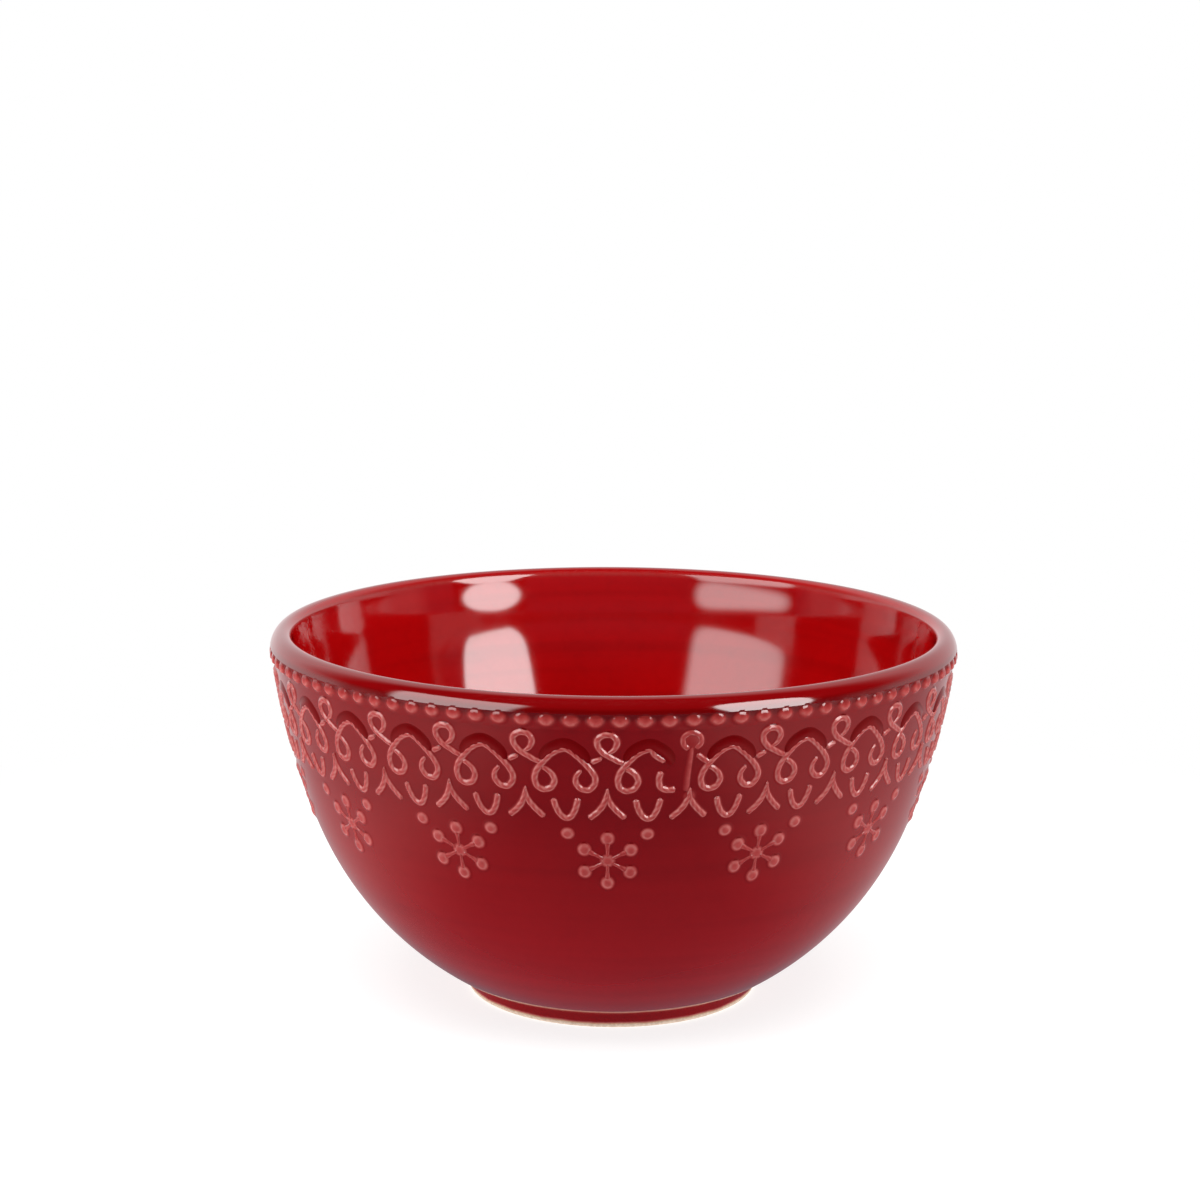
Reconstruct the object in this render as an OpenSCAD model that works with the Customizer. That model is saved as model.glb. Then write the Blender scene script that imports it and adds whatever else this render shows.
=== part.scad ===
// Footed ceramic bowl with a raised lace border: a row of half-sunk beads under the lip,
// loops and curled arches below it, then sprigs, dots and six-armed snowflakes.
// Millimetres, +Z up, origin at the middle of the circle that the bowl stands on.

/* [Bowl] */
// Overall height, from the table to the top of the lip
height = 81.5; // [76:0.5:100]
// Outer radius of the wall at its top edge, under the lip
mouth_r = 74.6; // [72:0.1:84]
// Outer radius of the wall at the shoulder, where the belly turns into the flare
shoulder_r = 66.2; // [63:0.1:70]
// How far the shoulder lies below the wall's top edge
shoulder_drop = 36.2; // [30:0.1:42]
// How far the flare bulges out past a straight line from the shoulder to the lip
flare_bulge = 1.0; // [0.4:0.1:2]
// How far the belly stands out past the foot where they meet
foot_step = 2.4; // [1:0.1:5]
// Thickness of the wall
wall = 4.6; // [3.5:0.1:6]
// Thickness of the floor over the hollow of the foot
floor_t = 4.6; // [3.5:0.1:7]
// Radius of the level part of the floor inside
floor_flat_r = 12; // [8:0.5:16]

/* [Lip] */
// Height of the lip above the wall's top edge
lip_h = 2.9; // [2.4:0.1:4]
// Radius of the lip's outer edge
lip_outer_r = 2.6; // [1.8:0.1:2.8]
// Radius of the lip's inner edge
lip_inner_r = 1.9; // [1:0.1:2.2]

/* [Foot] */
// Outer radius of the foot ring
foot_r = 32.1; // [28:0.1:33]
// Width of the foot ring
foot_w = 3.6; // [2.5:0.1:6]
// Height of the foot ring
foot_h = 3.9; // [3:0.1:5]
// Radius that the standing edge is sponged to
foot_round = 0.7; // [0.2:0.1:1]

/* [Lace] */
// Repeats of the border round the bowl: two arches and one snowflake each
repeats = 14; // [12:1:15]
// Beads in one repeat
beads_per_repeat = 7; // [5:1:7]
// Width of a raised stroke
stroke_w = 1.2; // [0.8:0.05:1.3]
// Height of a raised stroke above the wall
stroke_h = 0.65; // [0.3:0.05:1]
// Width of a bead
bead_d = 3.2; // [2:0.1:3.6]
// Height of a bead above the wall
bead_h = 0.55; // [0.3:0.05:0.8]
// Gap between the top of the beads and the wall's top edge
bead_gap = 0.1; // [0:0.05:0.6]
// Width of a dot under an arch
dot_d = 2.3; // [1.5:0.1:3]
// How far the dots lie below the wall's top edge
dot_drop = 25.2; // [24:0.1:27]
// Width of a knob at the end of a snowflake's arm
knob_d = 2.6; // [1.6:0.1:3]
// Height of the dots and knobs above the wall
knob_h = 0.65; // [0.3:0.05:1]
// Distance from the middle of a snowflake to the middle of a knob
arm_l = 5.3; // [4.6:0.1:5.6]
// Width of a snowflake's arm
arm_w = 0.9; // [0.6:0.05:1.2]
// Width of the flat hub of a snowflake
hub_d = 2.4; // [1.6:0.1:3]
// Height of that hub above the wall
hub_h = 0.35; // [0.2:0.05:0.6]
// How far the snowflakes' hubs lie below the wall's top edge
hub_drop = 31.1; // [30.5:0.1:33]
// Width of the ridge that the mould's joint leaves
seam_w = 0.6; // [0.3:0.05:1]
// Height of that ridge above the wall
seam_h = 0.3; // [0.1:0.05:0.5]

/* [Hidden] */

glaze = [0.55, 0.05, 0.08];
thin_glaze = [0.80, 0.45, 0.43];
clay = [0.90, 0.83, 0.74];

// Gap that keeps a raised piece off the wall it is stuck to
seat_gap = 0.01;
// Angle between the points of a drawn arc
arc_step = 4;
// Sides of a bead, dot or knob, and the width and height of its crown as shares of its own
button_sides = 8;
crown_w = 0.65;
crown_h = 0.8;

arches = 2 * repeats;
beads = beads_per_repeat * repeats;
arch_deg = 360 / arches;
bead_deg = 360 / beads;
bead_drop = bead_gap + bead_d / 2;
// The width of one arch on the sheet that the border is drawn on
sheet_pitch = 16.16;
snow_arms = 6;

// Drawn points are [across, drop]: across from the middle of a motif on the sheet,
// and the drop below the wall's top edge. An arch runs from its apex to its curl's free end.
arch_half = [
    [0, 7.4], [2.3, 8.6], [4.4, 10.8], [5.9, 13.4], [5.6, 15.2],
    [4.2, 15.9], [2.6, 15.3], [2.0, 14.0], [2.8, 12.2]
];
loop_line = [[1.35, 6.9], [1.7, 5.5], [0, 4.3], [-1.8, 5.6], [-1.0, 7.6], [1.0, 9.0], [3.0, 10.1]];
dash_line = [[-0.9, 9.15], [-2.9, 10.0]];
v_half = [[0, 21.9], [0.9, 21.3], [1.9, 19.6], [2.5, 17.4]];
sprig_stem = [[0, 15.6], [-0.3, 17.4], [-0.9, 18.9], [-1.9, 20.4], [-3.5, 21.9]];
sprig_leg = [[0.35, 18.1], [0.85, 19.3], [1.95, 20.6], [3.6, 21.8]];
seam_line = [[-0.2, 9.4], [-0.2, 11.4], [-0.2, 13.4], [-0.2, 15.3]];
// A sprig's stem is this share of a stroke wide at its tip, and a leg at its root
stem_taper = 0.3;
leg_taper = 0.25;

// Section of the wall, as [radius, height]: the flare's arc runs from the shoulder to the
// top edge, and the belly's arc leaves it without a kink and ends at the foot.
top_z = height - lip_h;
shoulder_z = top_z - shoulder_drop;
top_edge = [mouth_r, top_z];
shoulder = [shoulder_r, shoulder_z];
foot_edge = [foot_r + foot_step, foot_h];
flare_chord = top_edge - shoulder;
flare_half = norm(flare_chord) / 2;
flare_in = [-flare_chord[1], flare_chord[0]] / norm(flare_chord);
flare_r = (flare_half * flare_half + flare_bulge * flare_bulge) / (2 * flare_bulge);
flare_c = (top_edge + shoulder) / 2 + flare_in * (flare_r - flare_bulge);
shoulder_in = (flare_c - shoulder) / flare_r;
belly_chord = foot_edge - shoulder;
belly_r = (belly_chord * belly_chord) / (2 * (belly_chord * shoulder_in));
belly_c = shoulder + shoulder_in * belly_r;

// Inside, the hollow's arc leaves the flare's inner face at the shoulder without a kink and
// ends at the edge of the level floor.
inner_shoulder = shoulder + shoulder_in * wall;
floor_z = foot_h + floor_t;
floor_edge = [floor_flat_r, floor_z];
hollow_chord = floor_edge - inner_shoulder;
hollow_r = (hollow_chord * hollow_chord) / (2 * (hollow_chord * shoulder_in));
hollow_c = inner_shoulder + shoulder_in * hollow_r;
inner_top_r = flare_c[0] + sqrt(pow(flare_r - wall, 2) - pow(top_z - flare_c[1], 2));

function direction(from, to) = atan2(to[1] - from[1], to[0] - from[0]);
function arc_points(c, r, a0, a1) =
    let (steps = max(2, ceil(abs(a1 - a0) / arc_step)))
    [for (i = [0:steps]) let (a = a0 + (a1 - a0) * i / steps) c + r * [cos(a), sin(a)]];
function unit(v) = v / norm(v);

// The wall's outer face at a drop below the top edge
function wall_c(drop) = drop < shoulder_drop ? flare_c : belly_c;
function wall_curve(drop) = drop < shoulder_drop ? flare_r : belly_r;
function wall_r(drop) =
    wall_c(drop)[0] + sqrt(pow(wall_curve(drop), 2) - pow(top_z - drop - wall_c(drop)[1], 2));
function wall_out(drop) = unit([wall_r(drop), top_z - drop] - wall_c(drop));

// Angles run from the front, at -Y, towards +X
function across_deg(across) = across * arch_deg / sheet_pitch;
function turned(a, r, z) = [r * sin(a), -r * cos(a), z];
function seat(p, a) = turned(a + across_deg(p[0]), wall_r(p[1]), top_z - p[1]);
function outward(p, a) =
    let (n = wall_out(p[1]))
    turned(a + across_deg(p[0]), n[0], n[1]);

// A smooth line through drawn points, with a number of steps between each two
function between(a, b, c, d, t) =
    b + (c - a) * t / 2 + (2 * a - 5 * b + 4 * c - d) * t * t / 2 + (3 * b - a - 3 * c + d) * t * t * t / 2;
function smooth_line(p, steps) =
    let (last = len(p) - 1)
    [
        for (i = [0:last - 1], s = [0:steps - 1])
            between(p[max(i - 1, 0)], p[i], p[i + 1], p[min(i + 2, last)], s / steps),
        p[last]
    ];
function flipped(p) = [for (q = p) [-q[0], q[1]]];
function both_sides(half) =
    let (last = len(half) - 1)
    concat([for (i = [0:last - 1]) flipped(half)[last - i]], half);

arch_line = smooth_line(both_sides(arch_half), 2);
loop_curve = smooth_line(loop_line, 2);
v_line = both_sides(v_half);
stem_line = smooth_line(sprig_stem, 2);
leg_line = smooth_line(sprig_leg, 2);

// A raised stroke along a drawn line, turned to angle a: a ridge with its foot on the wall.
// Its width runs from w0 at the first point to w at half way and beyond.
function stroke(line, a, w0, w, h) =
    let (
        last = len(line) - 1,
        ups = [for (p = line) outward(p, a)],
        spots = [for (i = [0:last]) seat(line[i], a) + seat_gap * ups[i]],
        points = [
            for (i = [0:last])
                let (
                    along = unit(spots[min(i + 1, last)] - spots[max(i - 1, 0)]),
                    side = unit(cross(ups[i], along)) * (w0 + (w - w0) * min(1, 2 * i / last)) / 2
                )
                each [spots[i] - side, spots[i] + side, spots[i] + ups[i] * h]
        ],
        walls = [
            for (i = [0:last - 1], k = [0:2])
                let (near = 3 * i + k, beside = 3 * i + (k + 1) % 3)
                each [[beside, near, near + 3], [beside, near + 3, beside + 3]]
        ]
    )
    [points, concat([[0, 1, 2], [3 * last, 3 * last + 2, 3 * last + 1]], walls)];

// A low round button of a width d and a height h, seated on the wall
function button(p, a, d, h) =
    let (
        up = outward(p, a),
        spot = seat(p, a) + seat_gap * up,
        level = unit(cross([0, 0, 1], up)),
        rise = cross(up, level),
        spokes = [for (k = [0:button_sides - 1]) let (t = k * 360 / button_sides) level * cos(t) + rise * sin(t)],
        foot = [for (s = spokes) spot + s * d / 2],
        crown = [for (s = spokes) spot + s * crown_w * d / 2 + up * crown_h * h],
        apex = 2 * button_sides,
        sides = [
            for (k = [0:button_sides - 1])
                let (m = (k + 1) % button_sides, k2 = k + button_sides, m2 = m + button_sides)
                each [[k, k2, m2], [k, m2, m], [k2, apex, m2]]
        ],
        base = [for (k = [1:button_sides - 2]) [0, k, k + 1]]
    )
    [concat(foot, crown, [spot + up * h]), concat(base, sides)];

// Raised pieces that stand apart from each other, as one group of solids
module raised(pieces) {
    starts = [for (i = 0, n = 0; i < len(pieces); n = n + len(pieces[i][0]), i = i + 1) n];
    color(thin_glaze)
        polyhedron(
            [for (s = pieces) each s[0]],
            [for (i = [0:len(pieces) - 1], f = pieces[i][1]) [for (k = f) k + starts[i]]]
        );
}

// Low ring that the bowl stands on, its lower edge sponged round and left bare of glaze
module foot_ring() {
    inner = foot_r - foot_w;
    color(clay)
        rotate_extrude($fn = 96)
            polygon(concat(
                arc_points([foot_r - foot_round, foot_round], foot_round, -90, 0),
                [[foot_r, foot_h], [inner, foot_h]],
                arc_points([inner + foot_round, foot_round], foot_round, 180, 270)
            ));
}

// The hollow wall of the bowl, from the foot to the lip, with its floor
module bowl_body() {
    belly_end = direction(belly_c, foot_edge);
    shoulder_dir = direction(belly_c, shoulder);
    inner_top = [inner_top_r, top_z];
    color(glaze)
        rotate_extrude($fn = 128)
            polygon(concat(
                [[0, foot_h]],
                arc_points(belly_c, belly_r, belly_end, shoulder_dir),
                arc_points(flare_c, flare_r, direction(flare_c, shoulder), direction(flare_c, top_edge)),
                arc_points(flare_c, flare_r - wall, direction(flare_c, inner_top), direction(flare_c, shoulder)),
                arc_points(
                    hollow_c, hollow_r,
                    direction(hollow_c, inner_shoulder), direction(hollow_c, floor_edge)
                ),
                [[0, floor_z]]
            ));
}

// Rounded lip on the top edge of the wall. Its rounding is limited by the wall's width.
module rim_lip() {
    lip_w = mouth_r - inner_top_r;
    outer_r = min(lip_outer_r, lip_h, lip_w * lip_outer_r / (lip_outer_r + lip_inner_r));
    inner_r = min(lip_inner_r, lip_h, lip_w - outer_r);
    color(glaze)
        rotate_extrude($fn = 128)
            polygon(concat(
                [[inner_top_r, top_z], top_edge],
                arc_points([mouth_r - outer_r, height - outer_r], outer_r, 0, 90),
                arc_points([inner_top_r + inner_r, height - inner_r], inner_r, 90, 180)
            ));
}

// Row of beads under the lip, one to each side of every snowflake's axis
module bead_row() {
    raised([for (i = [0:beads - 1]) button([0, bead_drop], (i + 0.5) * bead_deg, bead_d, bead_h)]);
}

// Loops between the arches, each with a tail to the next arch and a dash to the last one
module top_loops() {
    raised([
        for (i = [0:arches - 1], line = [loop_curve, dash_line])
            stroke(line, i * arch_deg, stroke_w, stroke_w, stroke_h)
    ]);
}

// Arches whose two ends curl inwards
module lace_arches() {
    raised([for (i = [0:arches - 1]) stroke(arch_line, (i + 0.5) * arch_deg, stroke_w, stroke_w, stroke_h)]);
}

// A small V under each arch
module v_sprigs() {
    raised([for (i = [0:arches - 1]) stroke(v_line, (i + 0.5) * arch_deg, stroke_w, stroke_w, stroke_h)]);
}

// A forked sprig under each loop: a tapered stem with one long leg, and a second leg beside it
module forked_sprigs() {
    raised([
        for (i = [0:arches - 1])
            each [
                stroke(stem_line, i * arch_deg, stem_taper * stroke_w, stroke_w, stroke_h),
                stroke(leg_line, i * arch_deg, leg_taper * stroke_w, stroke_w, stroke_h)
            ]
    ]);
}

// A dot under each V
module dot_row() {
    raised([for (i = [0:arches - 1]) button([0, dot_drop], (i + 0.5) * arch_deg, dot_d, knob_h)]);
}

// A snowflake under every second sprig: a hub, and arms that end in round knobs
module snowflakes() {
    hub = [0, hub_drop];
    // The sheet's width and drop of one millimetre on the wall at the hub
    wide = sheet_pitch / (arch_deg * wall_r(hub_drop) * PI / 180);
    deep = wall_out(hub_drop)[0];
    arm_start = hub_d / 2 + arm_w / 2;
    arm_end = arm_l - knob_d / 2;
    function on_arm(k, l) =
        let (t = k * 360 / snow_arms)
        hub + l * [sin(t) * wide, cos(t) * deep];
    raised([
        for (i = [0:repeats - 1])
            let (a = 2 * i * arch_deg)
            each concat(
                [button(hub, a, hub_d, hub_h)],
                [for (k = [0:snow_arms - 1]) button(on_arm(k, arm_l), a, knob_d, knob_h)],
                [
                    for (k = [0:snow_arms - 1])
                        stroke([on_arm(k, arm_start), on_arm(k, arm_end)], a, arm_w, arm_w, knob_h)
                ]
            )
    ]);
}

// The ridge that the two halves of the mould leave under a loop, on both sides of the bowl
module mould_seams() {
    raised([for (side = [0, 1]) stroke(seam_line, (1 + side * repeats) * arch_deg, seam_w, seam_w, seam_h)]);
}

foot_ring();
bowl_body();
rim_lip();
bead_row();
top_loops();
lace_arches();
v_sprigs();
forked_sprigs();
dot_row();
snowflakes();
mould_seams();
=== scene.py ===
import math
import bmesh
import bpy
from mathutils import Matrix, Vector


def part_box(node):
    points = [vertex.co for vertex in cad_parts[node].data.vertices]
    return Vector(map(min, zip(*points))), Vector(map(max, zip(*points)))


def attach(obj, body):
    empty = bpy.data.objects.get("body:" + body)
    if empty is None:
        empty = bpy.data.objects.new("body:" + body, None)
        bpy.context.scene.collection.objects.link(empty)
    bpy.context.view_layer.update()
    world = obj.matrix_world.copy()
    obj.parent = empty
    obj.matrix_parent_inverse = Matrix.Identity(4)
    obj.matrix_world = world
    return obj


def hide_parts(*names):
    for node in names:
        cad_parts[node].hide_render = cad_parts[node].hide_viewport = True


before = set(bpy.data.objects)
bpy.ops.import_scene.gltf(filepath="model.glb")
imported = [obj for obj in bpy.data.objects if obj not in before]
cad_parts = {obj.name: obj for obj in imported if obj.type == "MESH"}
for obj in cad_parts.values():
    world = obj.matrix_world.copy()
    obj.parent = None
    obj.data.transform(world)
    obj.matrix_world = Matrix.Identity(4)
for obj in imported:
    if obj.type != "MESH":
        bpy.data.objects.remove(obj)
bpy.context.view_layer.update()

# Foot: the low ring that the bowl stands on, cast in one with the wall from cream clay.
# It is glazed with the rest, and then sponged clean along its standing edge, so that it
# doesn't stick to the kiln shelf. The bare clay there is dry and a little rough.
MM = 0.001
foot_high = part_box("foot_ring")[1]
foot_r = foot_high.x
foot_h = foot_high.z
foot_w = 3.6 * MM
foot_round = 0.8 * MM
foot_fillet = 0.8 * MM
foot_outer_rows = (1.7 * MM, 2.4 * MM)
foot_inner_row = 2.0 * MM
foot_arc_step = 0.2 * MM
foot_columns = 256
bare_h = 1.1 * MM
bare_wobble = 0.25 * MM
bare_blur = 0.12 * MM
ochre_core = 0.05 * MM
ochre_line_w = 0.40 * MM
ochre_at_line = 0.7
thin_at_line = 0.6
grain_h = 0.2 * MM
grain_strength = 0.25
merge_gap = 0.002 * MM
sharp_angle = math.radians(55)

red = (0.225, 0.0018, 0.0028, 1)
# The inside is a lighter copy of the same red: painted light for the light the hollow catches.
painted_light_inner_red = (0.440, 0.0016, 0.0026, 1)
# Deep red serves the glaze's random deeper patches, and also painted shade in pits, on the band, along relief
# feet and on the banks.
deep_red = (0.120, 0.0004, 0.0008, 1)
half_red = (0.375, 0.048, 0.045, 1)
thin_red = (0.505, 0.155, 0.140, 1)
clay_cream = (0.640, 0.510, 0.410, 1)
clay_shade = (0.500, 0.380, 0.290, 1)
ochre = (0.420, 0.190, 0.080, 1)
glaze_roughness = 0.06
clay_roughness = 0.75
glaze_specular = 0.12
glaze_coat_ior = 1.65
cloud_share = 0.22
streak_share = 0.18
mottle_share = 0.06
thin_even = 1.44
thin_patchy = 0.56


class Wire:
    """An output of a node, on which sums are written as on a number."""

    def __init__(self, tree, socket):
        self.tree = tree
        self.socket = socket

    def out(self, name):
        return Wire(self.tree, self.socket.node.outputs[name])

    def maths(self, operation, *values):
        return self.tree.node("ShaderNodeMath", {"operation": operation}, dict(enumerate(values)))

    def __add__(self, other):
        return self.maths("ADD", self, other)

    def __radd__(self, other):
        return self.maths("ADD", other, self)

    def __sub__(self, other):
        return self.maths("SUBTRACT", self, other)

    def __rsub__(self, other):
        return self.maths("SUBTRACT", other, self)

    def __mul__(self, other):
        return self.maths("MULTIPLY", self, other)

    def __rmul__(self, other):
        return self.maths("MULTIPLY", other, self)

    def __truediv__(self, other):
        return self.maths("DIVIDE", self, other)

    def __rtruediv__(self, other):
        return self.maths("DIVIDE", other, self)

    def __mod__(self, other):
        return self.maths("MODULO", self, other)

    def __floordiv__(self, other):
        return self.maths("FLOOR", self / other)

    def __pow__(self, other):
        return self.maths("POWER", self, other)

    def __abs__(self):
        return self.maths("ABSOLUTE", self)

    def ramp(self, low, high):
        """0 at low and 1 at high, with soft ends."""
        return self.tree.node(
            "ShaderNodeMapRange",
            {"interpolation_type": "SMOOTHSTEP"},
            {"Value": self, "From Min": low, "From Max": high},
        )

    def blend(self, first, second):
        """The first colour where this is 0, and the second where it is 1."""
        return self.tree.node("ShaderNodeMix", {"data_type": "RGBA"}, {0: self, 6: first, 7: second}, 2)


class Tree:
    """A node tree in the making."""

    def __init__(self, tree):
        self.tree = tree

    def node(self, kind, settings=None, sockets=None, out=0):
        made = self.tree.nodes.new(kind)
        for name, value in (settings or {}).items():
            setattr(made, name, value)
        for name, value in (sockets or {}).items():
            if isinstance(value, Wire):
                self.tree.links.new(value.socket, made.inputs[name])
            else:
                made.inputs[name].default_value = value
        return Wire(self, made.outputs[out]) if made.outputs else None


class Finish(Tree):
    """A material in the making, with the marks on the piece's mesh at hand."""

    def __init__(self, name):
        self.material = bpy.data.materials.new(name)
        self.material.use_nodes = True
        super().__init__(self.material.node_tree)
        self.tree.nodes.clear()
        self.place = self.node("ShaderNodeTexCoord", out="Object")

    def mark(self, name):
        return self.node("ShaderNodeAttribute", {"attribute_name": name}, out="Fac")

    def noise(self, scale, detail=2, stretch=(1, 1, 1)):
        place = self.node("ShaderNodeVectorMath", {"operation": "MULTIPLY"}, {0: self.place, 1: stretch})
        return self.node("ShaderNodeTexNoise", {}, {"Vector": place, "Scale": scale, "Detail": detail})

    def surface(self, sockets):
        shader = self.node("ShaderNodeBsdfPrincipled", {}, sockets)
        self.node("ShaderNodeOutputMaterial", {}, {"Surface": shader})
        return self.material


def glaze_colour(finish):
    """Crimson glaze: painted lighter inside, deeper where it pools and where shade is painted, and pale where
    it runs thin over an edge and along two painted highlight lines.
    """
    cloud = finish.noise(26, 3).ramp(0.35, 0.75)
    streaks = finish.noise(34, 2, (0.25, 0.25, 8)).ramp(0.40, 0.70)
    mottle = finish.noise(420, 2).ramp(0.45, 0.70)
    # Painted light: the inside gets a lighter red than the outside.
    colour = finish.mark("inner").blend(red, painted_light_inner_red)
    uneven = cloud * cloud_share + streaks * streak_share + mottle * mottle_share
    colour = uneven.blend(colour, deep_red)
    # The pool mark darkens real pools of glaze and also paints shade in recesses.
    colour = finish.mark("pool").blend(colour, deep_red)
    patches = finish.noise(900, 2).ramp(0.25, 0.65)
    thin = finish.mark("thin") * (thin_even + thin_patchy * patches)
    return (thin - 1).blend(thin.blend(colour, half_red), thin_red)


def foot_finish():
    """Glaze down to an uneven line, with ochre along it, and dry clay below."""
    finish = Finish("glazed_foot")
    level = finish.node("ShaderNodeSeparateXYZ", {}, {"Vector": finish.place}, "Z")
    edge = level + (finish.noise(160, 3) - 0.5) * (2 * bare_wobble)
    glazed = edge.ramp(bare_h - bare_blur, bare_h + bare_blur)
    line = 1 - abs(edge - bare_h).ramp(ochre_core, ochre_line_w)
    grain = finish.noise(1500, 4).ramp(0.35, 0.70)
    clay = (line * ochre_at_line).blend(grain.blend(clay_cream, clay_shade), ochre)
    glaze = (line * thin_at_line).blend(glaze_colour(finish), thin_red)
    rough = finish.node(
        "ShaderNodeBump", {}, {"Strength": grain_strength, "Distance": grain_h, "Height": grain}
    )
    return finish.surface({
        "Base Color": glazed.blend(clay, glaze),
        "Roughness": clay_roughness + glazed * (glaze_roughness - clay_roughness),
        "Coat Weight": glazed,
        "Coat Roughness": glaze_roughness,
        "Coat IOR": glaze_coat_ior,
        "Specular IOR Level": glaze_specular,
        "Normal": rough,
    })


def arc(centre, radius, start, end, step):
    """Points along an arc of a section, about a step apart, from one angle to another."""
    count = max(2, math.ceil(abs(end - start) * radius / step))
    angles = [start + (end - start) * i / count for i in range(count + 1)]
    return [centre + radius * Vector((math.cos(a), math.sin(a))) for a in angles]


def toward(start, end):
    """The angle of the way from one point of a section to another."""
    return math.atan2(end.y - start.y, end.x - start.x)


def section_object(name, points, marks):
    """A drawn section: a row of points (radius, height), with the marks that each point carries."""
    mesh = bpy.data.meshes.new(name)
    mesh.from_pydata([(p.x, 0, p.y) for p in points], [], [])
    for mark, values in marks.items():
        mesh.attributes.new(mark, "FLOAT", "POINT").data.foreach_set("value", values)
    made = bpy.data.objects.new(name, mesh)
    bpy.context.scene.collection.objects.link(made)
    return made


def new_tree(name, inputs):
    """An empty Geometry Nodes tree with these inputs, and the wires that bring them in."""
    group = bpy.data.node_groups.new(name, "GeometryNodeTree")
    for title, kind in {"Geometry": "NodeSocketGeometry", **inputs}.items():
        group.interface.new_socket(title, in_out="INPUT", socket_type=kind)
    group.interface.new_socket("Geometry", in_out="OUTPUT", socket_type="NodeSocketGeometry")
    tree = Tree(group)
    first = tree.node("NodeGroupInput")
    return tree, {title: first.out(title) for title in ("Geometry", *inputs)}


def shape_piece(made, tree, values):
    """Runs a tree on an object with these inputs, and leaves its result as a plain mesh."""
    modifier = made.modifiers.new("shape", "NODES")
    modifier.node_group = tree.tree
    for socket in tree.tree.interface.items_tree:
        if socket.in_out == "INPUT" and socket.name in values:
            modifier[socket.identifier] = values[socket.name]
    seen = bpy.context.evaluated_depsgraph_get()
    mesh = bpy.data.meshes.new_from_object(made.evaluated_get(seen))
    made.modifiers.clear()
    made.data = mesh
    work = bmesh.new()
    work.from_mesh(mesh)
    bmesh.ops.recalc_face_normals(work, faces=work.faces)
    work.to_mesh(mesh)
    work.free()
    mesh.set_sharp_from_angle(angle=sharp_angle)
    return made


def turned_round(tree, section, columns):
    """The nodes that turn a section round the bowl's axis: a grid, and each point's angle and place."""
    rows = tree.node("GeometryNodeAttributeDomainSize", {}, {"Geometry": section}, "Point Count")
    grid = tree.node("GeometryNodeMeshGrid", {}, {"Vertices X": columns + 1, "Vertices Y": rows})
    index = tree.node("GeometryNodeInputIndex")
    row = index % rows
    column = index // rows
    angle = column * (2 * math.pi) / columns
    drawn = tree.node("GeometryNodeInputPosition")
    place = tree.node(
        "GeometryNodeSampleIndex", {"data_type": "FLOAT_VECTOR"},
        {"Geometry": section, "Value": drawn, "Index": row},
    )
    place = tree.node("ShaderNodeSeparateXYZ", {}, {"Vector": place})

    def mark(name):
        value = tree.node("GeometryNodeInputNamedAttribute", {}, {"Name": name})
        return tree.node("GeometryNodeSampleIndex", {}, {"Geometry": section, "Value": value, "Index": row})

    return grid, angle, place.out("X"), place.out("Z"), mark


def closed_turning(tree, grid, angle, radius, height, marks, material):
    """The nodes that lay the grid round the axis, close it and give it its marks and its finish."""
    for name, value in marks.items():
        grid = tree.node(
            "GeometryNodeStoreNamedAttribute", {}, {"Geometry": grid, "Name": name, "Value": value}
        )
    sine = angle.maths("SINE", angle)
    cosine = angle.maths("COSINE", angle)
    place = tree.node("ShaderNodeCombineXYZ", {}, {
        "X": radius * sine, "Y": -1 * radius * cosine, "Z": height,
    })
    mesh = tree.node("GeometryNodeSetPosition", {}, {"Geometry": grid, "Position": place})
    mesh = tree.node("GeometryNodeMergeByDistance", {}, {"Geometry": mesh, "Distance": merge_gap})
    mesh = tree.node("GeometryNodeSetShadeSmooth", {}, {"Geometry": mesh})
    mesh = tree.node("GeometryNodeRealizeInstances", {}, {"Geometry": mesh})
    mesh = tree.node("GeometryNodeSetMaterial", {}, {"Geometry": mesh, "Material": material})
    tree.node("NodeGroupOutput", {}, {"Geometry": mesh})


turning, brought = new_tree("turn_on_wheel", {"Columns": "NodeSocketInt", "Material": "NodeSocketMaterial"})
grid, angle, radius, height, mark = turned_round(turning, brought["Geometry"], brought["Columns"])
own_marks = {name: mark(name) for name in ("thin", "pool", "inner")}
closed_turning(turning, grid, angle, radius, height, own_marks, brought["Material"])

foot_in = foot_r - foot_w
foot_section = [
    *arc(Vector((foot_in + foot_round, foot_round)), foot_round, math.pi, 1.5 * math.pi, foot_arc_step),
    *arc(Vector((foot_r - foot_round, foot_round)), foot_round, -0.5 * math.pi, 0, foot_arc_step),
    *[Vector((foot_r, z)) for z in foot_outer_rows],
    *arc(
        Vector((foot_r + foot_fillet, foot_h - foot_fillet)), foot_fillet,
        math.pi, 0.5 * math.pi, foot_arc_step,
    ),
    Vector((foot_in, foot_h)),
    Vector((foot_in, foot_inner_row)),
]
foot_section.append(foot_section[0])
foot = section_object("foot", foot_section, {})
shape_piece(foot, turning, {"Columns": foot_columns, "Material": foot_finish()})
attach(foot, "root")
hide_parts("foot_ring")

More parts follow.
